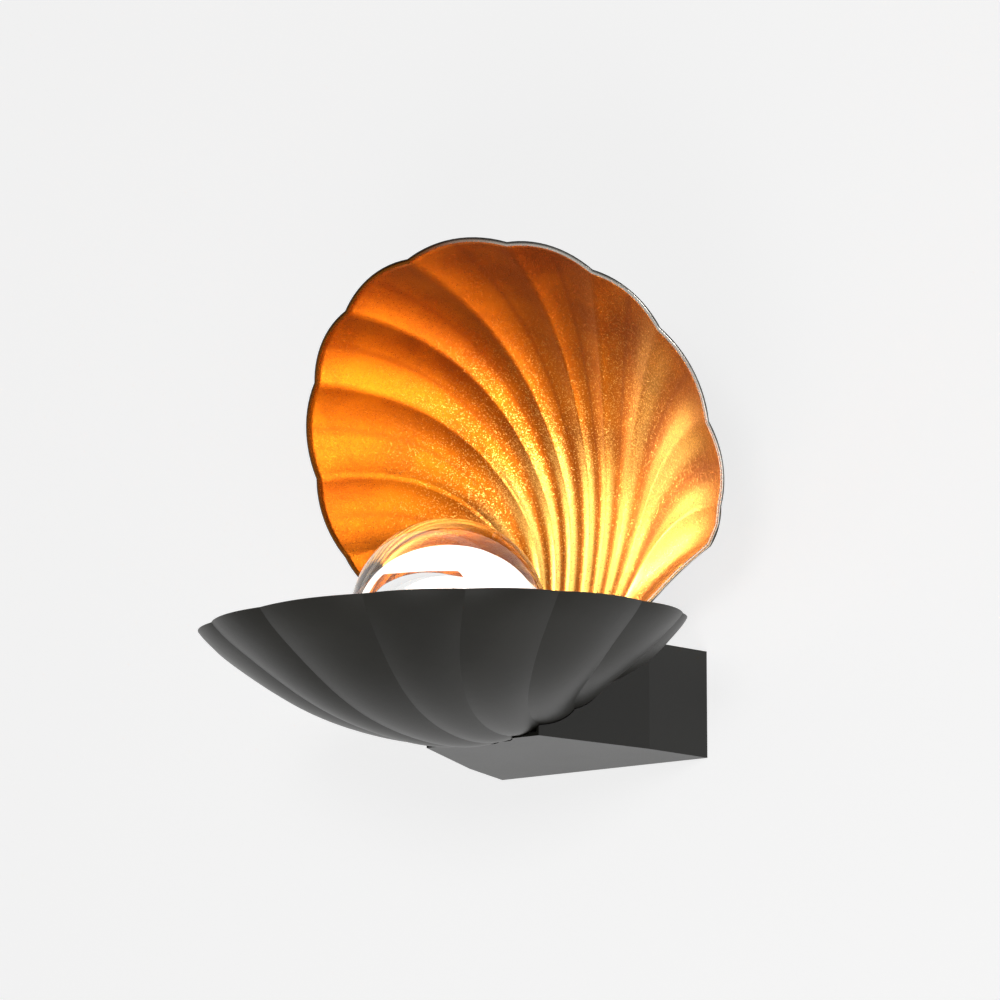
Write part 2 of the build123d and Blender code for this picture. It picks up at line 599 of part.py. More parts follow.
def lamp_bridge():
    """Bent strip over the leads: top for the holders, two legs, two feet screwed to the cup."""
    floor = CUP_SEAT + CUP_FLOOR
    t = LAMP_BRIDGE_THICK
    x, y = LAMP_BRIDGE_HALF_X, LAMP_BRIDGE_HALF_Y
    front, back = -LAMP_Y - LAMP_BRIDGE_FOOT_HALF, -LAMP_Y + LAMP_BRIDGE_FOOT_HALF
    strip = box(-x, x, -LAMP_Y - y, -LAMP_Y + y, BRIDGE_TOP - t, BRIDGE_TOP)
    for side in SIDES:
        leg = sorted((side * x, side * (x - t)))
        foot = sorted((side * (x - t), side * (x + LAMP_BRIDGE_FOOT)))
        strip += box(*leg, front, back, floor, BRIDGE_TOP)
        strip += box(*foot, front, back, floor, floor + t)
        at = (side * CUP_SCREW_X, -LAMP_Y)
        strip -= rod((*at, floor - 1), (*at, floor + t + 0.5), M3[0] + CLEAR_GAP)
    for lamp_x in LAMP_XS:
        ways = [(0, RIVET_R + TAP_GAP)]
        ways += [(side * PIN_SPACING / 2, LEAD_R + CLEAR_GAP) for side in SIDES]
        for ahead, radius in ways:
            at = (lamp_x, -LAMP_Y + ahead)
            strip -= rod((*at, BRIDGE_TOP - 2 * t), (*at, BRIDGE_TOP + t), radius)
    return strip


def bridge_screws():
    """Two screws through the bridge's feet and the cup into the pad."""
    top = CUP_SEAT + CUP_FLOOR + LAMP_BRIDGE_THICK
    return [screw((s * CUP_SCREW_X, -LAMP_Y, top), (0, 0, -1), 8, M3) for s in SIDES]


def lamp_holder(x):
    """Ceramic holder: rounded block with a recessed top and two pin sockets."""
    middle = BRIDGE_TOP + HOLDER_HEIGHT / 2
    body = Pos(x, -LAMP_Y, middle) * Box(HOLDER_WIDE, HOLDER_LONG, HOLDER_HEIGHT)
    body = fillet(body.edges().filter_by(Axis.Z), 3)
    body = chamfer(body.faces().sort_by(Axis.Z)[-1].edges(), 0.8)
    for side in SIDES:
        at = (x, -LAMP_Y + side * PIN_SPACING / 2)
        body -= rod((*at, HOLDER_TOP - PIN_LENGTH - 1), (*at, HOLDER_TOP + 1), PIN_R + PIN_GAP)
        body -= rod((*at, BRIDGE_TOP - 1), (*at, BRIDGE_TOP + 4), LEAD_R + TAP_GAP)
    top = (x, -LAMP_Y, HOLDER_TOP + 1)
    body -= rod((x, -LAMP_Y, BRIDGE_TOP - 1), top, RIVET_R + TAP_GAP)
    return body - rod((x, -LAMP_Y, HOLDER_TOP - RIVET_WELL), top, RIVET_HEAD_R + CLEAR_GAP)


def holder_rivets():
    """One rivet through each holder and the bridge, headed at both ends."""
    rivets = []
    for x in LAMP_XS:
        top, low = HOLDER_TOP - RIVET_WELL, BRIDGE_TOP - LAMP_BRIDGE_THICK
        rivet = rod((x, -LAMP_Y, low - RIVET_HEAD), (x, -LAMP_Y, top + RIVET_HEAD), RIVET_R)
        rivet += rod((x, -LAMP_Y, low - RIVET_HEAD), (x, -LAMP_Y, low), RIVET_HEAD_R)
        rivets.append(rivet + rod((x, -LAMP_Y, top), (x, -LAMP_Y, top + RIVET_HEAD), RIVET_HEAD_R))
    return rivets


def capsule(x, radius, top, low):
    """Round-nosed solid for a lamp's glass or its hollow."""
    body = rod((x, -LAMP_Y, low), (x, -LAMP_Y, top - radius), radius)
    return body + Pos(x, -LAMP_Y, top - radius) * Sphere(radius)


def lamp_glass(x):
    """Clear capsule with a drawn tip."""
    low = LAMP_FOOT + LAMP_BASE_HEIGHT
    tip = 1.2
    wall = LAMP_GLASS_WALL
    glass = capsule(x, LAMP_GLASS_R, LAMP_TOP - tip, low) + capsule(x, tip, LAMP_TOP, LAMP_TOP - 3 * tip)
    return glass - capsule(x, LAMP_GLASS_R - wall, LAMP_TOP - tip - wall, low + wall)


def lamp_base(x):
    """Flat pressed base of a capsule lamp, waisted above the holder."""
    foot = RectangleRounded(LAMP_BASE_WIDE - 2, LAMP_BASE_LONG, 2)
    neck = RectangleRounded(LAMP_BASE_WIDE, LAMP_BASE_LONG - 1, 4)
    return loft([Pos(x, -LAMP_Y, LAMP_FOOT) * foot,
                 Pos(x, -LAMP_Y, LAMP_FOOT + LAMP_BASE_HEIGHT) * neck])


def lamp_pins(x):
    """Two pins under the base."""
    pins = []
    for side in SIDES:
        at = (x, -LAMP_Y + side * PIN_SPACING / 2)
        pins.append(rod((*at, LAMP_FOOT - PIN_LENGTH), (*at, LAMP_FOOT), PIN_R))
    return pins


def lamp_filament(x):
    """Lit core of the lamp, held between two stiff wires from the base."""
    low = LAMP_FOOT + LAMP_BASE_HEIGHT + LAMP_GLASS_WALL
    top = LAMP_TOP - LAMP_GLASS_R - 2
    core = rod((x, -LAMP_Y, top - FILAMENT_LENGTH), (x, -LAMP_Y, top), FILAMENT_R)
    for y, height in ((2.6, top - FILAMENT_LENGTH + 1), (-2.6, top - 1)):
        stem = [(x, y - LAMP_Y, low), (x, y - LAMP_Y, height), (x, -LAMP_Y, height)]
        core += tube_along(stem, 1.0, FILAMENT_WIRE_R)
    return core


# ---------------------------------------------------------------- wiring

def block_centre_x():
    return BLOCK_LEFT + BLOCK_POLE * BLOCK_POLES / 2


def pole_x(number):
    return BLOCK_LEFT + BLOCK_POLE * (number + 0.5)


BLOCK_Y = -(BRACKET_SHEET + BLOCK_DEPTH / 2)


def terminal_block():
    """Three-pole block on the bracket's web, wire ways upright, screw wells towards the room."""
    back = -BRACKET_SHEET
    body = box(BLOCK_LEFT, BLOCK_LEFT + BLOCK_POLE * BLOCK_POLES, back - BLOCK_DEPTH * 0.6, back,
               -BLOCK_LONG / 2, BLOCK_LONG / 2)
    for pole in range(BLOCK_POLES):
        x = pole_x(pole)
        body += box(x - BLOCK_POLE * 0.4, x + BLOCK_POLE * 0.4, back - BLOCK_DEPTH, back - BLOCK_DEPTH * 0.4,
                    -BLOCK_LONG / 2 + 2, BLOCK_LONG / 2 - 2)
    for pole in range(BLOCK_POLES):
        x = pole_x(pole)
        body -= rod((x, BLOCK_Y, -BLOCK_LONG), (x, BLOCK_Y, BLOCK_LONG), TERMINAL_BORE_R)
        for z in (-BLOCK_LONG / 4, BLOCK_LONG / 4):
            body -= rod((x, back - BLOCK_DEPTH - 1, z), (x, BLOCK_Y, z), CLAMP_R)
    centre = block_centre_x()
    body -= rod((centre, -BLOCK_DEPTH * 2, 0), (centre, 0, 0), M3[0] + CLEAR_GAP)
    body -= rod((centre, -BLOCK_DEPTH * 2, 0), (centre, back - 4, 0), M3[1] + CLEAR_GAP)
    return body


def terminal_screws():
    """Six small clamping screws in the block's wells."""
    screws = []
    depth = -BRACKET_SHEET - BLOCK_DEPTH
    for pole in range(BLOCK_POLES):
        for z in (-BLOCK_LONG / 4, BLOCK_LONG / 4):
            x = pole_x(pole)
            clamp = rod((x, BLOCK_Y - LEAD_R - TAP_GAP, z), (x, depth + 1, z), CLAMP_R - TAP_GAP)
            screws.append(clamp - Pos(x, depth + 1, z) * Box(4, 1.2, 0.6))
    return screws


def block_screw():
    """Screw that holds the terminal block on the bracket."""
    return screw((block_centre_x(), -BRACKET_SHEET - 4, 0), (0, 1, 0), 5.6, M3)


def earth_tag():
    """Ring tag under the earth screw, with its crimp barrel."""
    y = -BRACKET_SHEET
    barrel_z = EARTH_Z + 8.5
    tag = rod((EARTH_X, y - 0.8, EARTH_Z), (EARTH_X, y, EARTH_Z), 4.4)
    tag += box(EARTH_X - 1.5, EARTH_X + 1.5, y - 0.8, y, EARTH_Z, barrel_z)
    tag += rod((EARTH_X, y - 1.7, EARTH_Z + 5), (EARTH_X, y - 1.7, barrel_z), 1.7)
    tag -= rod((EARTH_X, y - 1.7, EARTH_Z + 6), (EARTH_X, y - 1.7, barrel_z + 1), LEAD_R + TAP_GAP)
    return tag - rod((EARTH_X, -BLOCK_DEPTH, EARTH_Z), (EARTH_X, 0, EARTH_Z), M4[0] + CLEAR_GAP)


def earth_screw():
    """Earth screw into the bracket's web."""
    return screw((EARTH_X, -BRACKET_SHEET - 0.8, EARTH_Z), (0, 1, 0), 2.5, M4)


def lead_sleeve():
    """Heat-proof sleeve for the two lamp leads, from the cup through the bowl into the arm."""
    ends = (0, -SLEEVE_FRONT, SLEEVE_Z), (0, -SLEEVE_BACK, SLEEVE_Z)
    return rod(*ends, SLEEVE_R) - rod(*ends, SLEEVE_BORE_R)


def sleeve_bush():
    """Silicone bush that seals the sleeve in the bowl's hole."""
    ends = (0, -BUSH_FRONT, SLEEVE_Z), (0, -BUSH_BACK, SLEEVE_Z)
    return rod(*ends, BUSH_R) - rod(*ends, BUSH_BORE_R)


def lamp_lead(side, pole):
    """Lead from a holder down into the sleeve, back through the arm and into its terminal."""
    x = side * LEAD_SPREAD
    holder = (LAMP_XS[(side + 1) // 2], -LAMP_Y + PIN_SPACING / 2)
    terminal = pole_x(pole)
    crest = BLOCK_LONG / 2 + 10 + 0.6 * side
    points = [
        (*holder, BRIDGE_TOP + 3),
        (*holder, SLEEVE_Z),
        (x, -SLEEVE_FRONT - 3.5, SLEEVE_Z),
        (x, -SLEEVE_BACK + 7.5 - 1.5 * side, SLEEVE_Z),
        (terminal, -LEAD_TURN_Y, SLEEVE_Z + 12 + 2 * side),
        (terminal, BLOCK_Y - LEAD_LOOP, crest),
        (terminal, BLOCK_Y, crest),
        (terminal, BLOCK_Y, BLOCK_LONG / 2 - 4),
    ]
    return tube_along(points, [1.9, 4.5, 4.5, 8, 8, 6.5], LEAD_R)


def holder_link():
    """Short link between the two holders, under the bridge."""
    y = -LAMP_Y - PIN_SPACING / 2
    low = CUP_SEAT + CUP_FLOOR + 2.2
    top = BRIDGE_TOP + 3
    points = [(LAMP_XS[0], y, top), (LAMP_XS[0], y, low), (LAMP_XS[1], y, low), (LAMP_XS[1], y, top)]
    return tube_along(points, 1.9, LEAD_R)


def earth_lead():
    """Earth lead from the first terminal to the ring tag."""
    terminal = pole_x(0)
    high = 17.0
    y = -BRACKET_SHEET - 1.7
    points = [(terminal, BLOCK_Y, BLOCK_LONG / 2 - 4), (terminal, BLOCK_Y, high), (0, BLOCK_Y + 1, high),
              (EARTH_X, y, high), (EARTH_X, y, EARTH_Z + 6.5)]
    return tube_along(points, [4.5, 12, 3.0], LEAD_R)


# ---------------------------------------------------------------- build

def build():
    """Every node by name."""
    low, high = lower_plane(), upper_plane()
    nodes = {
        "wall_bracket": wall_bracket(),
        "cable_grommet": cable_grommet(),
        "arm_housing": arm_housing(low),
        "arm_screws": arm_screws(),
        "lower_shell": lower_shell(low),
        "upper_shell": upper_shell(high),
        "angle_bracket": angle_bracket(),
        "angle_foot_screws": foot_screws(),
        "angle_foot_nuts": foot_nuts(),
        "upper_shell_screws": upper_shell_screws(),
        "shell_posts": shell_posts(),
        "lower_shell_screws": lower_shell_screws(),
        "lamp_cup": lamp_cup(),
        "globe_ring": globe_ring(),
        "globe_gasket": globe_gasket(),
        "globe": globe(),
        "globe_liner": globe_liner(),
        "lamp_bridge": lamp_bridge(),
        "bridge_screws": bridge_screws(),
        "holder_rivets": holder_rivets(),
        "terminal_block": terminal_block(),
        "terminal_screws": terminal_screws(),
        "block_screw": block_screw(),
        "earth_tag": earth_tag(),
        "earth_screw": earth_screw(),
        "lead_sleeve": lead_sleeve(),
        "sleeve_bush": sleeve_bush(),
        "lamp_lead_brown": lamp_lead(-1, 1),
        "lamp_lead_blue": lamp_lead(1, 2),
        "holder_link": holder_link(),
        "earth_lead": earth_lead(),
    }
    for name, x in zip(("left", "right"), LAMP_XS):
        nodes[f"lamp_holder_{name}"] = lamp_holder(x)
        nodes[f"lamp_{name}_glass"] = lamp_glass(x)
        nodes[f"lamp_{name}_base"] = lamp_base(x)
        nodes[f"lamp_{name}_pins"] = lamp_pins(x)
        nodes[f"lamp_{name}_filament"] = lamp_filament(x)
    return nodes


def as_shape(item):
    """One shape for a node, as a compound where it holds several solids."""
    if not isinstance(item, list):
        item = [item]
    solids = [solid for piece in item for solid in piece.solids()]
    return solids[0] if len(solids) == 1 else Compound(children=solids)


if __name__ == "__main__":
    os.makedirs("parts", exist_ok=True)
    for node, item in build().items():
        shape = as_shape(item)
        shape.label = node
        export_step(shape, f"parts/{node}.step")
        print(f"{node}: {len(shape.solids())} solids, {shape.volume:.0f} mm3")
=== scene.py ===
import json
from math import cos, radians, sin

import bmesh
import bpy
import numpy as np
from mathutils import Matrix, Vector


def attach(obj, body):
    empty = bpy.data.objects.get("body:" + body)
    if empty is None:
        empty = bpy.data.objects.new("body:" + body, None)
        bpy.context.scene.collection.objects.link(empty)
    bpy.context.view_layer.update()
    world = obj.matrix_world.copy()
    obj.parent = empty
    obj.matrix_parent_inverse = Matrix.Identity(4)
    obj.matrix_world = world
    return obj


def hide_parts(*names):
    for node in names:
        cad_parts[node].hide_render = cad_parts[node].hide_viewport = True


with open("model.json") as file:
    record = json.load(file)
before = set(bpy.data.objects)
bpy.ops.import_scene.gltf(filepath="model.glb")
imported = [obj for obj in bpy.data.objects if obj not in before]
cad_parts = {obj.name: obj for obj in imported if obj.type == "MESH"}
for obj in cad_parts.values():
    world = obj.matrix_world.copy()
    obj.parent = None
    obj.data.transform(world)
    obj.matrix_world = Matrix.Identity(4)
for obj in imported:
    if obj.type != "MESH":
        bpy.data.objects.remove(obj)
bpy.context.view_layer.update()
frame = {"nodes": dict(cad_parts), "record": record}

MM = 0.001


# ---------------------------------------------------------------- camera and lights

MIDDLE = Vector((0, -0.1, 0.09))    # point inside the bowls that the soft lights face
LAMP_LIGHT = (1.0, 0.90, 0.70)
BOUNCED_LIGHT = (1.0, 0.88, 0.62)


def place_camera():
    """Long lens from the right, a little below the light, as the photograph is taken."""
    lens = bpy.data.cameras.new("view")
    lens.sensor_width = 36.0
    lens.lens = 210.37
    lens.clip_start, lens.clip_end = 0.05, 60.0
    camera = bpy.data.objects.new("view", lens)
    camera.location = (1.6417, -2.4180, -0.48685)
    camera.rotation_euler = (radians(90 + 11.58), 0, radians(35.202))
    bpy.context.scene.collection.objects.link(camera)
    bpy.context.scene.camera = camera


def softbox(name, azimuth, elevation, distance, size, watts):
    """Square white light of a given side that faces the middle from an azimuth and elevation."""
    light = bpy.data.lights.new(name, "AREA")
    light.size, light.energy = size, watts
    box = bpy.data.objects.new(name, light)
    a, e = radians(azimuth), radians(elevation)
    away = Vector((sin(a) * cos(e), -cos(a) * cos(e), sin(e)))
    box.location = MIDDLE + away * distance
    box.rotation_euler = away.to_track_quat("Z", "Y").to_euler()
    box.visible_camera = False
    bpy.context.scene.collection.objects.link(box)


def lamp_glow(name, place, radius, watts, colour, lit, stops):
    """Small round light for what the lit lamps throw on the gold: it lights only the lit pieces,
    passes the clear globe, and only the named pieces stop it."""
    light = bpy.data.lights.new(name, "POINT")
    light.energy, light.color, light.shadow_soft_size = watts, colour, radius
    glow = bpy.data.objects.new(name, light)
    glow.location = place
    glow.visible_camera = False
    glow.visible_transmission = False
    bpy.context.scene.collection.objects.link(glow)
    glow.light_linking.receiver_collection = bpy.data.collections.new(name + "_lit")
    glow.light_linking.blocker_collection = bpy.data.collections.new(name + "_stopped")
    for piece in lit:
        glow.light_linking.receiver_collection.objects.link(piece)
    for piece in stops:
        glow.light_linking.blocker_collection.objects.link(piece)


# ---------------------------------------------------------------- finishes

class Value:
    """Socket of a node tree; arithmetic on it adds the Math nodes."""

    def __init__(self, nodes, socket):
        self.nodes, self.socket = nodes, socket

    def also(self, name):
        """Another output of the same node, by its name or number."""
        return Value(self.nodes, self.socket.node.outputs[name])

    def __add__(self, other):
        return self.nodes.math("ADD", self, other)

    def __sub__(self, other):
        return self.nodes.math("SUBTRACT", self, other)

    def __rsub__(self, other):
        return self.nodes.math("SUBTRACT", other, self)

    def __mul__(self, other):
        return self.nodes.math("MULTIPLY", self, other)

    __radd__ = __add__
    __rmul__ = __mul__


class Nodes:
    """A node tree and the ways to add to it."""

    def __init__(self, tree):
        self.tree = tree

    def feed(self, socket, value):
        if isinstance(value, Value):
            self.tree.links.new(value.socket, socket)
        else:
            socket.default_value = value

    def node(self, kind, settings, inputs, out=0):
        """Any node: its settings first, then the values or links of its sockets."""
        made = self.tree.nodes.new("ShaderNode" + kind)
        for key, value in settings.items():
            setattr(made, key, value)
        for key, value in inputs.items():
            self.feed(made.inputs[key], value)
        return Value(self, made.outputs[out])

    def math(self, operation, *values):
        return self.node("Math", {"operation": operation}, dict(enumerate(values)))

    def vector(self, operation, *values):
        return self.node("VectorMath", {"operation": operation}, dict(enumerate(values)))

    def mix(self, share, first, second):
        """Colour between two colours."""
        first, second = (c if isinstance(c, Value) else (*c, 1) for c in (first, second))
        return self.node("Mix", {"data_type": "RGBA"}, {0: share, 6: first, 7: second}, 2)

    def place(self):
        return self.node("TexCoord", {}, {}, "Object")

    def axes(self, vector=None):
        """The three parts of a vector, or of the place on the object."""
        first = self.node("SeparateXYZ", {}, {"Vector": vector or self.place()})
        return first, first.also(1), first.also(2)

    def noise(self, scale, detail=2.0, rough=0.5, where=None):
        """Cloudy pattern, about 0.5 on average; scale is cells per metre."""
        inputs = {"Vector": where or self.place(), "Scale": scale, "Detail": detail,
                  "Roughness": rough}
        return self.node("TexNoise", {}, inputs)

    def band(self, value, low, high):
        """0 under low, 1 over high, smooth between."""
        return self.node("MapRange", {"interpolation_type": "SMOOTHSTEP"},
                         {"Value": value, "From Min": low, "From Max": high})

    def stripes(self, value):
        """0 at whole numbers, 1 half way between them, straight lines between."""
        return self.math("PINGPONG", value, 0.5) * 2.0

    def bump(self, height, strength, depth, under=None):
        inputs = {"Height": height, "Strength": strength, "Distance": depth}
        if under:
            inputs["Normal"] = under
        return self.node("Bump", {}, inputs)


class Finish(Nodes):
    """One material: a Principled surface and the nodes that feed it."""

    def __init__(self, name, **constants):
        self.name = name
        self.material = bpy.data.materials.new(name)
        self.material.use_nodes = True
        super().__init__(self.material.node_tree)
        self.tree.nodes.clear()
        self.output = self.tree.nodes.new("ShaderNodeOutputMaterial")
        self.surface = self.tree.nodes.new("ShaderNodeBsdfPrincipled")
        self.tree.links.new(self.surface.outputs[0], self.output.inputs[0])
        self.set(**constants)

    def set(self, **sockets):
        """Feed the Principled surface, names written with underscores."""
        for key, value in sockets.items():
            if isinstance(value, tuple) and len(value) == 3:
                value = (*value, 1)
            self.feed(self.surface.inputs[key.replace("_", " ")], value)
        return self


def powder_coat(name, dark, light, grain=1500.0):
    """Satin charcoal powder coat: fine orange peel, faint clouds and a few paler specks."""
    f = Finish(name, Specular_IOR_Level=0.42)
    clouds = f.noise(14, 4, 0.6)
    peel = f.noise(grain, 2, 0.55)
    speck = f.band(f.noise(grain * 2.2, 1), 0.62, 0.78)
    tone = f.mix(f.band(clouds, 0.3, 0.72), dark, light)
    f.set(Base_Color=f.mix(speck * 0.35, tone, tuple(2.1 * c for c in light)),
          Roughness=0.31 + 0.08 * clouds + 0.06 * peel)
    return f.set(Normal=f.bump(peel, 0.22, 0.00012))


def gold_leaf(name):
    """Warm leaf over a cast surface: pressed grain that glitters and random deeper and warmer
    tones;
    painted shade as a deeper orange line along the lobes' middles, and a painted highlight, pale
    on the ridges between them by the hinge and on the right hand, with painted glints there."""
    f = Finish(name, Specular_IOR_Level=0.6, Metallic=0.95)
    where = f.place()
    side = f.axes(where)[0]
    across, along, _ = f.axes(f.node("UVMap", {}, {}))
    groove = f.stripes(across * LOBES)
    clouds = f.noise(22, 4, 0.6, where)
    grain = f.noise(1500, 3, 0.7, where)
    cells = f.node("TexVoronoi", {"feature": "F1"}, {"Vector": where, "Scale": 2100.0}, "Color")
    flake = f.axes(cells)[0]
    # The first colour is the leaf's random deep tone and also the painted shade; the last is the
    # pale colour of the painted highlight and glints.
    deep_tone_and_shade, warm, highlight_pale = (0.18, 0.036, 0.0007), (0.31, 0.080, 0.0014), (0.98, 0.60, 0.16)
    # Painted highlight where the lamps light the leaf: pale on the ridges, strongest by the hinge
    # and on the right hand, with painted glints of pale colour among the flakes there.
    ridge = f.band(1.0 - groove, 0.20, 0.70)
    lamp_lit_share = 1.0 - along + 0.5 * f.band(side, 0.02, 0.10)
    painted_highlight = f.band(lamp_lit_share + 0.16 * flake, 0.52, 1.0)
    painted_glint = f.band(flake, 0.84, 0.94) * f.band(lamp_lit_share, 0.12, 0.6)
    colour = f.mix(f.band(clouds + 0.2 * flake, 0.35, 0.85), deep_tone_and_shade, warm)
    colour = f.mix(painted_highlight * (0.06 + 0.86 * ridge), colour, highlight_pale)
    colour = f.mix(painted_glint * 0.5, colour, highlight_pale)
    # Painted shade: a deeper orange line along each lobe's middle.
    colour = f.mix(f.band(groove, 0.84, 1.0) * 0.6, colour, deep_tone_and_shade)
    f.set(Base_Color=colour, Roughness=0.40 - 0.16 * flake + 0.05 * clouds)
    press = f.bump(f.noise(260, 2, 0.5, where), 0.10, 0.0004)
    return f.set(Normal=f.bump(grain, 0.50, 0.00024, press))


def brushed_metal(name, dark, light, rough=0.30, grain=(900, 900, 60)):
    """Plated or drawn metal: fine drawn lines one way, faint clouds in the plating."""
    f = Finish(name, Metallic=1.0)
    stretch = f.vector("MULTIPLY", f.place(), grain)
    lines = f.noise(1.0, 3, 0.6, stretch)
    clouds = f.noise(120, 3)
    f.set(Base_Color=f.mix(f.band(0.6 * lines + 0.4 * clouds, 0.3, 0.75), dark, light),
          Roughness=rough + 0.12 * lines)
    return f.set(Normal=f.bump(lines, 0.12, 0.00005))


def moulded(name, dark, light, rough=0.5, grain=700.0, depth=0.00006, **constants):
    """Moulded rubber, plastic or ceramic: faint clouds in the colour, fine skin."""
    f = Finish(name, **constants)
    clouds = f.noise(160, 3)
    skin = f.noise(grain, 2)
    f.set(Base_Color=f.mix(f.band(clouds, 0.3, 0.7), dark, light), Roughness=rough + 0.15 * skin)
    return f.set(Normal=f.bump(skin, 0.25, depth))


def ground_edge(name, painted_highlight, plain, side=0.03):
    """Ground and polished edge of the casting; painted highlight: brighter and paler on the right
    hand.
    """
    f = Finish(name, Metallic=1.0)
    # Painted highlight: the colour turns to the given pale one right of the given side.
    highlight_pale = f.band(f.axes()[0] + 0.03 * f.noise(60, 3), side - 0.05, side + 0.05)
    lines = f.noise(1400, 2)
    f.set(Base_Color=f.mix(highlight_pale, plain, painted_highlight), Roughness=0.20 + 0.14 * lines)
    return f.set(Normal=f.bump(lines, 0.1, 0.00004))


def striped_insulation(name, first, second):
    """Two-colour insulation: bands that lean round the lead."""
    f = Finish(name)
    side, _, high = f.axes()
    stripe = f.stripes(side * 160.0 + high * 220.0)
    f.set(Base_Color=f.mix(f.band(stripe, 0.48, 0.54), first, second),
          Roughness=0.42 + 0.1 * f.noise(500))
    return f


def woven_sleeve(name, dark, light):
    """Coated glass braid: two crossing helical weaves."""
    f = Finish(name)
    _, along, high = f.axes()
    along, high = along * 900.0, high * 1400.0
    weave = f.math("PINGPONG", along + high, 0.5) + f.math("PINGPONG", along - high, 0.5)
    f.set(Base_Color=f.mix(f.band(weave, 0.2, 0.7), dark, light), Roughness=0.55 + 0.1 * weave)
    return f.set(Normal=f.bump(weave, 0.5, 0.0001))


def clear_glass(name, tint, wave=30.0, strength=0.10, edge=None):
    """Clear glass: very slight waves in the surface, polished; where an edge colour is given,
    painted shade darkens the colour towards it where the wall is seen edge on."""
    f = Finish(name, Transmission_Weight=1.0, IOR=1.5)
    cords = f.noise(wave, 2, 0.4)
    colour = f.mix(cords, tint, (1.0, 1.0, 1.0))
    if edge:
        # Painted shade: darker colour where the surface is seen edge on.
        facing = f.node("LayerWeight", {}, {"Blend": 0.5}, "Facing")
        colour = f.mix(f.band(facing, 0.45, 0.95), colour, edge)
    f.set(Base_Color=colour, Roughness=0.004 + 0.008 * cords)
    return f.set(Normal=f.bump(cords, strength, 0.002))


def opal_glass(name):
    """White flashed layer lit by the lamps: even glow, a little less at its foot."""
    f = Finish(name, Emission_Strength=1.0)
    lit = f.band(f.axes()[2], -0.01, 0.02) * (0.92 + 0.08 * f.noise(60))
    f.set(Base_Color=f.mix(f.noise(200), (0.90, 0.90, 0.88), (0.96, 0.96, 0.95)),
          Emission_Color=f.mix(lit, (0.80, 0.74, 0.62), (1.0, 0.99, 0.96)),
          Roughness=0.35 + 0.1 * f.noise(300))
    return f


def lit_core(name):
    """Glowing coil: warm white, with the fine turns of the coil as darker bands."""
    f = Finish(name, Emission_Strength=6.0)
    turns = f.stripes(f.axes()[2] * 2500.0)
    glow = f.mix(f.band(turns, 0.1, 0.7), (0.75, 0.45, 0.16), (1.0, 0.90, 0.68))
    return f.set(Base_Color=glow, Emission_Color=glow, Roughness=0.4 + 0.1 * turns)


def make_finishes():
    """Every material by its finish's name, which is the record's slot where it has one."""
    made = [
        powder_coat("bowl_coat", (0.020, 0.019, 0.014), (0.030, 0.028, 0.021)),
        powder_coat("arm_coat", (0.016, 0.0155, 0.0115), (0.022, 0.021, 0.016), 1800.0),
        gold_leaf("gold_leaf"),
        # For both edges the first colour is the painted highlight on the right hand.
        ground_edge("leafed_edge", (0.88, 0.84, 0.76), (0.30, 0.09, 0.01)),
        ground_edge("coated_edge", (0.30, 0.29, 0.27), (0.05, 0.05, 0.045)),
        brushed_metal("zinc_plate", (0.50, 0.50, 0.50), (0.68, 0.69, 0.70)),
        brushed_metal("dark_screw", (0.03, 0.03, 0.03), (0.07, 0.07, 0.07), 0.38),
        brushed_metal("brass_screw", (0.60, 0.40, 0.13), (0.80, 0.58, 0.24), 0.25),
        brushed_metal("brass_trim", (0.55, 0.35, 0.11), (0.78, 0.55, 0.22), 0.28),
        brushed_metal("nickel_pin", (0.55, 0.54, 0.51), (0.72, 0.71, 0.68), 0.22),
        clear_glass("clear_glass", (0.965, 0.975, 0.97)),
        # The dark brown edge colour of the quartz is painted shade on its rims seen edge on.
        clear_glass("lamp_quartz", (0.97, 0.97, 0.97), 120.0, 0.05, (0.10, 0.045, 0.01)),
        opal_glass("opal_glass"),
        lit_core("lit_core"),
        moulded("pressed_glass", (0.72, 0.72, 0.70), (0.85, 0.85, 0.83), 0.15,
                Transmission_Weight=0.5),
        moulded("ceramic", (0.74, 0.72, 0.66), (0.86, 0.84, 0.78), 0.18, Coat_Weight=0.6),
        moulded("silicone", (0.70, 0.69, 0.65), (0.82, 0.81, 0.78), 0.45, Subsurface_Weight=0.15),
        moulded("black_rubber", (0.018, 0.018, 0.018), (0.035, 0.035, 0.035), 0.6),
        moulded("white_nylon", (0.76, 0.76, 0.73), (0.85, 0.85, 0.82), 0.42),
        moulded("brown_lead", (0.13, 0.05, 0.02), (0.20, 0.085, 0.04), 0.4),
        moulded("blue_lead", (0.02, 0.07, 0.28), (0.04, 0.12, 0.40), 0.4),
        striped_insulation("earth_insulation", (0.08, 0.30, 0.05), (0.75, 0.62, 0.06)),
        woven_sleeve("glass_braid", (0.50, 0.48, 0.43), (0.78, 0.76, 0.71)),
    ]
    return {finish.name: finish.material for finish in made}


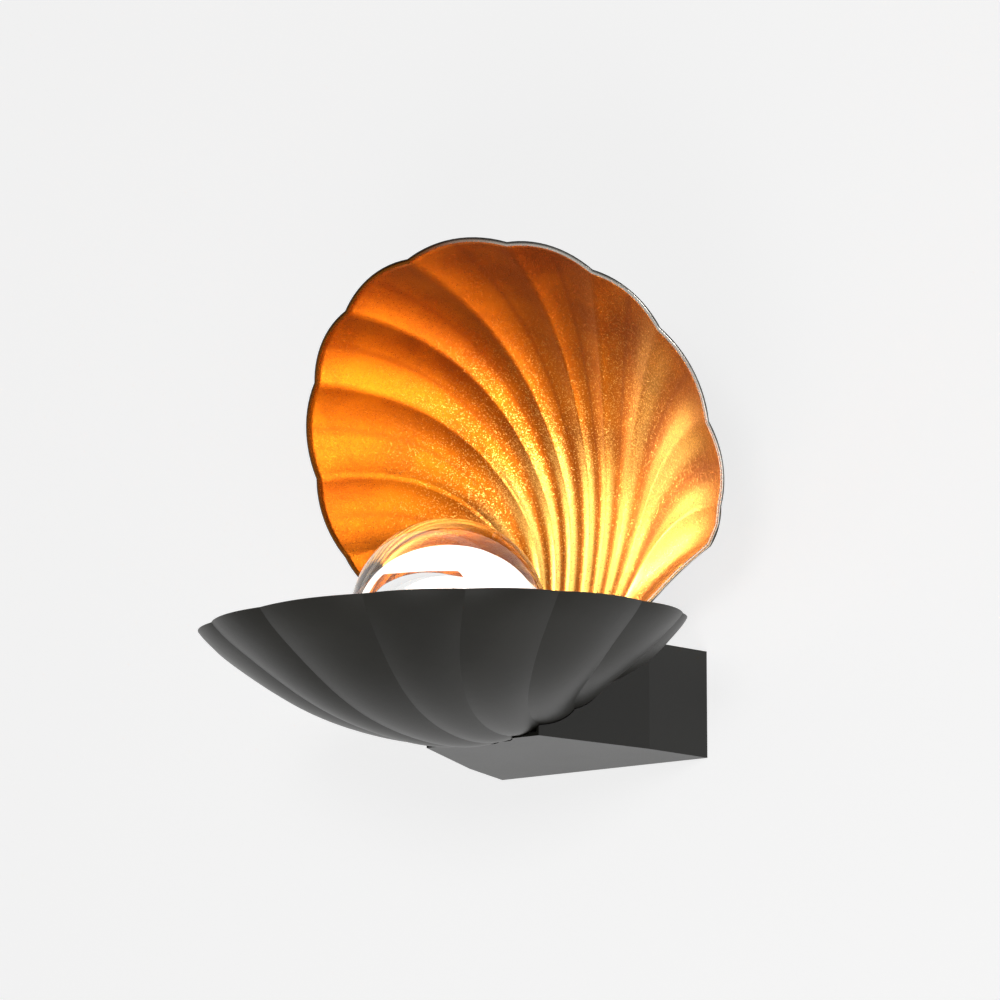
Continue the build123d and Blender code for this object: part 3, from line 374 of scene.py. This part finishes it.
def backdrop_finish(name, mirrored):
    """Pale matt paint that glows at its own colour for the camera, through glass and, to the
    mirrored share, in reflections, and still takes a shadow; its back face is clear."""
    f = Finish(name, Specular_IOR_Level=0.1)
    cloud = f.noise(3)
    f.set(Base_Color=f.mix(cloud, (0.40, 0.40, 0.40), (0.405, 0.405, 0.405)),
          Roughness=0.9 + 0.05 * cloud)
    paint = Value(f, f.surface.outputs[0])
    path = f.node("LightPath", {}, {})
    direct = path + mirrored * path.also("Is Glossy Ray") + path.also("Is Transmission Ray")
    shine = f.node("Emission", {}, {"Color": (1, 1, 1, 1), "Strength": 0.785})
    both = f.node("AddShader", {}, {0: shine, 1: paint})
    shown = f.node("MixShader", {}, {0: direct, 1: paint, 2: both})
    back = f.node("NewGeometry", {}, {}, "Backfacing")
    clear = f.node("BsdfTransparent", {}, {})
    f.feed(f.output.inputs[0], f.node("MixShader", {}, {0: back, 1: shown, 2: clear}))
    return f


# ---------------------------------------------------------------- meshes from grids

def grid_faces(rows, columns, first=0):
    """Quads of a grid of points, in the order of its rows."""
    start = first + np.arange(rows - 1)[:, None] * columns + np.arange(columns - 1)
    start = start.ravel()
    return np.stack([start, start + 1, start + columns + 1, start + columns], 1)


def edge_loop(rows, columns):
    """Indices round the border of a grid, once."""
    index = np.arange(rows * columns).reshape(rows, columns)
    return np.concatenate([index[0, :-1], index[:-1, -1], index[-1, :0:-1], index[:0:-1, 0]])


def weld(mesh):
    """Merge the doubled points of seams and poles and turn all faces outwards."""
    work = bmesh.new()
    work.from_mesh(mesh)
    bmesh.ops.remove_doubles(work, verts=work.verts, dist=1e-6)
    bmesh.ops.recalc_face_normals(work, faces=work.faces)
    work.to_mesh(mesh)
    work.free()


def add_piece(name, points, faces, body, finish, maps=None, slot=None):
    """Mesh object with its place in its mesh, riding on a body."""
    mesh = bpy.data.meshes.new(name)
    mesh.from_pydata(points.tolist(), [], faces.tolist())
    if maps is None:
        weld(mesh)
    else:
        layer = mesh.uv_layers.new(name="lobes")
        corner = np.zeros(len(mesh.loops), np.int32)
        mesh.loops.foreach_get("vertex_index", corner)
        layer.data.foreach_set("uv", maps[corner].astype(np.float32).ravel())
    mesh.polygons.foreach_set("use_smooth", np.ones(len(mesh.polygons), bool))
    mesh.update()
    piece = bpy.data.objects.new(name, mesh)
    bpy.context.scene.collection.objects.link(piece)
    mesh.materials.append(finish)
    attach(piece, body)
    return piece


def turned(profile, centre, steps=192):
    """Closed outline of radius and height turned about an upright axis, by steps of equal angle;
    the outline's last point joins its first."""
    angle = np.linspace(0, 2 * np.pi, steps + 1)
    radius, height = np.array(profile).T
    ring = np.stack([np.outer(np.cos(angle), radius), np.outer(np.sin(angle), radius),
                     np.broadcast_to(height, (steps + 1, len(height)))], -1)
    ring = (np.concatenate([ring, ring[:, :1]], 1) + np.array(centre)) * MM
    return ring.reshape(-1, 3), grid_faces(*ring.shape[:2])


def closed_skin(front, back):
    """Points and faces of a thin closed skin between two grids of the same size."""
    rows, columns = front.shape[:2]
    count = rows * columns
    rim = edge_loop(rows, columns)
    after = np.roll(rim, -1)
    walls = np.stack([rim, rim + count, after + count, after], 1)
    sheets = grid_faces(rows, columns), grid_faces(rows, columns, count)[:, ::-1]
    points = np.concatenate([front.reshape(-1, 3), back.reshape(-1, 3)])
    return points, np.concatenate([*sheets, walls])


# ---------------------------------------------------------------- the scalloped bowl's inside
# In the bowl's own frame: rim plane at height 0, +Y from the hinge end to the tip, depth along +Z.
# The lobe coordinate runs across: whole numbers along the lobes' middles, halves on the ridges
# between them.  The eleven lobes are nine round ones and a short one at each end.

LOBES = 11
REACH, HALF = 90.0, 33.0            # rim centre to the hinge end, and half its width
RIM_R, RIM_WAVES = 120.0, (0.015, 0.003, -0.016)
LOBE_SWELL = 0.022
NOTCHES = np.array([0.0, 0.5, 1.5, 2.5, 3.5, 4.5])
NOTCH_ANGLES = np.radians([0.0, 14.6, 38.2, 59.4, 83.8, 104.5])
ROUND_TO, FLANK_FROM = NOTCHES[-2:]
LAST_RADIUS = 118.5
CORNER = np.array([60.0, 16.2 - REACH])
CORNER_BULGE = 7.7
EDGE = LOBES / 2                    # lobe coordinate of the straight flank
END_LOBES = [(FLANK_FROM, 4.62, 4.8), (4.8, 5.15, EDGE)]
START_SPREAD = 0.81                 # under 1: lines start further apart near the middle
START_LEAN, LEAN_GROWTH = 0.025, 1.84
LEAVE = np.radians([0.0, 17.1, 48.4, 61.1, 79.0, 83.8, 55.0])  # headings at notches and edge
WALL = 2.0
RISE, END_DEPTH = 48.7, 13.5
FULLNESS = 0.70
DEEPEST, DEEPEST_DRIFT = 0.472, 0.0035      # share of the way from hinge to rim
ARCH_BEHIND, ARCH_AHEAD = 2.15, 2.3
HINGE_SWELL, RIM_SWELL, END_LOBE_SWELL = 0.17, 0.03, 0.6
HINGE_Y = -40.0
LOWER_HINGE, LOWER_DIP = 27.5, radians(1.5)
UPPER_HINGE, UPPER_LEAN = 29.8, radians(25.2)
LEAF_PROUD, LEAF_BURIED = 0.45, 0.35
EDGE_INSET, EDGE_HALF, EDGE_ROOT = 1.35, 0.98, 0.4
UPPER_EDGE_RISE, LOWER_EDGE_RISE = 0.5, 0.3


def notch_radius(angle):
    """120 mm times one plus three small cosine waves of the angle from the tip."""
    return RIM_R * (1 + sum(wave * np.cos((n + 1) * angle) for n, wave in enumerate(RIM_WAVES)))


def rim_point(lobe, inset):
    """Rim at a lobe coordinate: notch radius, swollen by a small share of itself times the sine
    of the way across the lobe; past the last notch a straight run to the corner plus a rounded
    bulge."""
    angle = np.interp(lobe, NOTCHES, NOTCH_ANGLES)
    before = notch_radius(NOTCH_ANGLES[-2])
    closing = before + (LAST_RADIUS - before) * (lobe - ROUND_TO)
    radius = np.where(lobe > ROUND_TO, closing, notch_radius(angle))
    radius = radius * (1 + LOBE_SWELL * np.sin(np.pi * ((lobe + 0.5) % 1)))
    lobed = np.stack([np.sin(angle), np.cos(angle)], -1) * (radius - inset)[..., None]
    start = np.array([np.sin(NOTCH_ANGLES[-1]), np.cos(NOTCH_ANGLES[-1])]) * LAST_RADIUS
    along = (CORNER - start) / np.linalg.norm(CORNER - start)
    outward = np.array([-along[1], along[0]])
    share = np.clip(lobe - FLANK_FROM, 0, 1)[..., None]
    bulge = CORNER_BULGE * np.interp(share, (0, 0.12, 0.3, 0.65, 1), (0, 0.62, 1, 0.36, 0))
    inward = np.where(share < 0.2, start / LAST_RADIUS, outward)
    flank = start + (CORNER - start) * share + outward * bulge - inward * inset
    return np.where((lobe > FLANK_FROM)[..., None], flank, lobed)


def plan_points(lobe, share, inset):
    """Quadratic curve from the hinge end to the rim, read at equal shares of its length.  It
    starts with a small sideways lean and leaves the rim at its ridge's own heading."""
    flank = CORNER + np.array([-HALF, REACH])
    flank = flank / np.linalg.norm(flank)
    half = HALF - inset * (1 - flank[0]) / flank[1]
    start = np.stack([half * (lobe / EDGE) ** START_SPREAD, 0 * lobe + inset - REACH], -1)
    end = rim_point(lobe, inset)
    lean = START_LEAN * lobe ** LEAN_GROWTH
    leave = np.interp(lobe, np.append(NOTCHES, EDGE), LEAVE)
    gap = end - start
    middle = lobe < 1e-6            # the middle line is straight
    bend = np.where(middle, 1, lean * np.cos(leave) - np.sin(leave))
    reach = (gap[:, 0] * np.cos(leave) - gap[:, 1] * np.sin(leave)) / bend
    reach = np.where(middle, np.linalg.norm(gap, axis=1) / 2, reach)
    knee = start + np.stack([lean, 0 * lean + 1], -1) * reach[:, None]
    fine = np.linspace(0, 1, 81)[:, None]
    curve = [(1 - fine) ** 2 * s + 2 * fine * (1 - fine) * k + fine ** 2 * e
             for s, k, e in zip(start, knee, end)]
    lines = []
    for line in curve:
        length = np.append(0, np.cumsum(np.linalg.norm(np.diff(line, axis=0), axis=1)))
        want = share * length[-1]
        lines.append(np.stack([np.interp(want, length, line[:, axis]) for axis in (0, 1)], -1))
    return np.array(lines)


def bowl_depth(lobe, share, inset):
    """Arch from hinge to rim, deepest just short of half way and flatter there than a parabola,
    times the fullness across; plus the hinge end's own depth, fading towards the rim."""
    across = np.maximum(1 - (lobe / EDGE) ** 2, 0)[:, None]
    deepest = (DEEPEST - DEEPEST_DRIFT * lobe ** 2)[:, None]
    behind = share < deepest
    off = (share - deepest) / np.where(behind, deepest, 1 - deepest)
    arch = 1 - np.abs(off) ** np.where(behind, ARCH_BEHIND, ARCH_AHEAD)
    full = (RISE - inset / 2) * across ** FULLNESS
    return full * arch + (END_DEPTH - inset) * across * (1 - share)


def circle_arc(start, middle, end, way):
    """Points at shares of the way along the circle through three points, column by column."""
    ab, ac = middle - start, end - start
    normal = np.cross(ab, ac)
    size = (normal ** 2).sum(1, keepdims=True)
    centre = start + (np.cross(normal, ab) * (ac ** 2).sum(1, keepdims=True)
                      + np.cross(ac, normal) * (ab ** 2).sum(1, keepdims=True)) / (2 * size)
    radius = np.linalg.norm(start - centre, axis=1, keepdims=True)
    first = (start - centre) / radius
    second = np.cross(normal / np.sqrt(size), first)
    to_end = end - centre
    turn = np.arctan2((to_end * second).sum(1), (to_end * first).sum(1)) % (2 * np.pi)
    angle = way[:, None, None] * turn[None, :, None]
    return centre + radius * (np.cos(angle) * first + np.sin(angle) * second)


def bowl_grid(inset, per_lobe=18, along=120):
    """Inside of the bowl: at each share of the way to the rim, circular arcs run from ridge to
    ridge through the lobe's middle, deepened by a share of their span that is largest at the
    hinge and fades to nothing at the rim."""
    share = np.linspace(0, 1, along) ** 0.9     # a little denser towards the rim
    half = [(n - 0.5, float(n), n + 0.5) for n in range(1, 5)] + END_LOBES
    spans = [(-c, -b, -a) for a, b, c in reversed(half)] + [(-0.5, 0.0, 0.5)] + half

    def line(lobe):
        plan = plan_points(np.array([abs(lobe)]), share, inset)[0]
        depth = bowl_depth(np.array([abs(lobe)]), share, inset)[0]
        return np.stack([np.copysign(1, lobe) * plan[:, 0], plan[:, 1], depth], -1)

    rows, lobes = [], []
    for low, middle, high in spans:
        start, bottom, end = line(low), line(middle), line(high)
        swell = HINGE_SWELL * (1 - share) ** 2.5 + RIM_SWELL * (1 - share ** 6)
        swell = swell * (END_LOBE_SWELL if abs(middle) > FLANK_FROM else 1)
        swell = swell * np.linalg.norm(end - start, axis=1)
        bottom = bottom + swell[:, None] * np.array([0, 0, 1])
        way = np.linspace(0, 1, per_lobe + 1)[:None if high == EDGE else -1]
        rows.append(circle_arc(start, bottom, end, way))
        lobes.append(low + (high - low) * way)
    rows, lobes = np.concatenate(rows), np.concatenate(lobes)
    maps = np.stack(np.broadcast_arrays(lobes[:, None] / LOBES + 0.5, share), -1)
    return rows, maps


def stand(points, hinge, tip, side):
    """Bowl's own frame to the light's: hinge end, direction of the tip, direction of +X."""
    tip, side = np.array(tip), np.array(side)
    origin = np.array(hinge) + tip * REACH
    return (origin + points[..., :1] * side + points[..., 1:2] * tip
            + points[..., 2:] * np.cross(side, tip)) * MM


def lower_stand(points):
    tip = (0, -cos(LOWER_DIP), -sin(LOWER_DIP))
    return stand(points, (0, HINGE_Y, LOWER_HINGE), tip, (1.0, 0, 0))


def upper_stand(points):
    tip = (0, -sin(UPPER_LEAN), cos(UPPER_LEAN))
    return stand(points, (0, HINGE_Y, UPPER_HINGE), tip, (-1.0, 0, 0))


def leaf_skin(name, place, finish):
    """Gold leaf over a bowl's inside: a closed skin from a little inside the casting to a little
    proud of it."""
    front, maps = bowl_grid(WALL + LEAF_PROUD)
    back, _ = bowl_grid(WALL - LEAF_BURIED)
    points, faces = closed_skin(place(front), place(back))
    maps = np.concatenate([maps.reshape(-1, 2)] * 2)
    return add_piece(name, points, faces, "fixture", finish, maps, "gold_leaf")


def outline(inset):
    """Whole edge of the casting in its rim plane: round the lobes, down one flank, along the
    hinge end and up the other flank."""
    rim = np.linspace(-EDGE, EDGE, 560)[:-1]
    hinge = np.linspace(EDGE, -EDGE, 60)[1:-1]
    down = np.linspace(1, 0, 40)
    lobes = np.concatenate([rim, np.full_like(down, EDGE), hinge, np.full_like(down, -EDGE)])
    shares = np.concatenate([np.ones_like(rim), down, np.zeros_like(hinge), down[::-1]])
    plan = plan_points(np.abs(lobes), np.array([0.0, 1.0]), inset)
    flat = plan[:, 0] * (1 - shares)[:, None] + plan[:, 1] * shares[:, None]
    flat[:, 0] *= np.copysign(1, lobes)
    return flat


def rim_edge(name, place, finish, raised):
    """Ground edge of a casting: a low half ellipse nearly as wide as the wall and its buried
    lower half, carried along the outline."""
    angle = np.linspace(0, 2 * np.pi, 21)
    inset = EDGE_INSET - EDGE_HALF * np.cos(angle)
    depth = -np.where(np.sin(angle) > 0, raised, EDGE_ROOT) * np.sin(angle)
    line = np.stack([outline(i) for i in inset], 1)
    line = np.concatenate([line, np.broadcast_to(depth[:, None], (*line.shape[:2], 1))], -1)
    line = place(np.concatenate([line, line[:1]]))
    return add_piece(name, line.reshape(-1, 3), grid_faces(*line.shape[:2]), "fixture", finish)


# ---------------------------------------------------------------- globe and its white layer

GLOBE_CENTRE = (0.0, -134.5, 31.25)
GLOBE_R, BORE_R, FOOT = 48.2, 20.0, -41.9
HOLLOW_WIDE, HOLLOW_HIGH = 30.0, 23.0
HOOD_PROUD, HOOD_BURIED = 0.4, 0.2          # into the hollow, and into the glass
HOOD_FRONT, HOOD_BACK = 39, -38             # degrees of its edge above the hollow's middle
CLEAR_TO, WHITE_FROM = 44, 70               # degrees round from the front


def ellipse_line(wide, high, first, last, count):
    """Points of half an ellipse about the upright axis, between two heights as shares."""
    turn = np.linspace(np.arcsin(first), np.arcsin(last), count)
    return np.stack([wide * np.cos(turn), high * np.sin(turn)], 1)


def globe_piece(finish):
    """Sphere cut flat at its foot, and a straight bore up into a wide low ellipsoid hollow."""
    outside = ellipse_line(GLOBE_R, GLOBE_R, 1, FOOT / GLOBE_R, 140)
    mouth = -np.sqrt(1 - (BORE_R / HOLLOW_WIDE) ** 2)
    inside = ellipse_line(HOLLOW_WIDE, HOLLOW_HIGH, mouth, 1, 140)
    profile = np.concatenate([outside, [(BORE_R, FOOT)], inside])
    piece = add_piece("globe_glass", *turned(profile, GLOBE_CENTRE), "globe_with_liner", finish,
                      slot="clear_glass")
    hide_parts("globe")


def liner_piece(finish):
    """White layer fused on the hollow: an ellipsoid hood from its top down to an edge that is
    high over the clear front and low round the sides and the wall side, with a smooth step
    between."""
    around = np.radians(np.linspace(0, 360, 193))
    front = np.degrees(np.abs((around + np.pi) % (2 * np.pi) - np.pi))
    share = np.clip((front - CLEAR_TO) / (WHITE_FROM - CLEAR_TO), 0, 1)
    edge = np.radians(HOOD_FRONT + (HOOD_BACK - HOOD_FRONT) * share ** 2 * (3 - 2 * share))
    down = np.linspace(0, 1, 60)
    tilt = np.pi / 2 + (edge[:, None] - np.pi / 2) * down
    skins = []
    for grow, angle in ((HOOD_BURIED, tilt), (-HOOD_PROUD, tilt[:, ::-1])):
        flat = (HOLLOW_WIDE + grow) * np.cos(angle)
        skins.append(np.stack([flat * np.sin(around)[:, None], -flat * np.cos(around)[:, None],
                               (HOLLOW_HIGH + grow) * np.sin(angle)], -1))
    grid = np.concatenate(skins + [skins[0][:, :1]], 1)
    grid = (grid + np.array(GLOBE_CENTRE)) * MM
    piece = add_piece("white_layer", grid.reshape(-1, 3), grid_faces(*grid.shape[:2]),
                      "globe_with_liner", finish, slot="opal_glass")
    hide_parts("globe_liner")


# ---------------------------------------------------------------- putting it together

def dress_nodes(finishes):
    """Each part of the frame takes the finish of its own material slot."""
    slots = {row["node"]: row["material_slot"] for row in frame["record"]["subparts"]}
    for name, part in frame["nodes"].items():
        part.data.materials.clear()
        part.data.materials.append(finishes[slots[name]])


def build_stage():
    """Pale wall behind the light and pale floor under it, white all round, soft lights."""
    left, right, front, back, low, high = -6, 6, -7, 0.0004, -1.2, 5
    wall = [(left, back, low), (right, back, low), (right, back, high), (left, back, high)]
    floor = [(left, front, low), (right, front, low), (right, back, low), (left, back, low)]
    for name, mirrored, points in (("wall", 1.0, wall), ("floor", 0.55, floor)):
        mesh = bpy.data.meshes.new(name)
        mesh.from_pydata(points, [], [(0, 1, 2, 3)])
        mesh.materials.append(backdrop_finish(name + "_paint", mirrored).material)
        sheet = bpy.data.objects.new(name, mesh)
        bpy.context.scene.collection.objects.link(sheet)
    world = bpy.data.worlds.new("studio")
    bpy.context.scene.world = world
    world.use_nodes = True
    sky = Nodes(world.node_tree)
    path = sky.node("LightPath", {}, {})
    seen = path + path.also("Is Transmission Ray")
    shine = sky.node("MapRange", {}, {"Value": seen, "To Min": 0.11, "To Max": 0.913})
    background = world.node_tree.nodes["Background"]
    sky.feed(background.inputs["Strength"], shine)
    sky.feed(background.inputs["Color"], (1, 1, 1, 1))
    softbox("key", 22, 6, 2.2, 0.5, 7)
    softbox("low", 20, -45, 1.4, 0.8, 2.6)
    bpy.context.scene.view_settings.view_transform = "Standard"


place_camera()
build_stage()
finishes = make_finishes()
dress_nodes(finishes)
leaves = [leaf_skin("upper_leaf", upper_stand, finishes["gold_leaf"]),
          leaf_skin("lower_leaf", lower_stand, finishes["gold_leaf"])]
rim_edge("upper_edge", upper_stand, finishes["leafed_edge"], UPPER_EDGE_RISE)
rim_edge("lower_edge", lower_stand, finishes["coated_edge"], LOWER_EDGE_RISE)
globe_piece(finishes["clear_glass"])
liner_piece(finishes["opal_glass"])
stops = [frame["nodes"]["arm_housing"]]
lamp_glow("glow", (0.004, -0.155, 0.068), 0.012, 0.9, LAMP_LIGHT, leaves, stops)
lamp_glow("focus", (0.0, -0.100, 0.052), 0.010, 0.55, LAMP_LIGHT, leaves, stops)
lamp_glow("bounce", (-0.19, -0.11, 0.14), 0.04, 2.1, BOUNCED_LIGHT, leaves, stops)
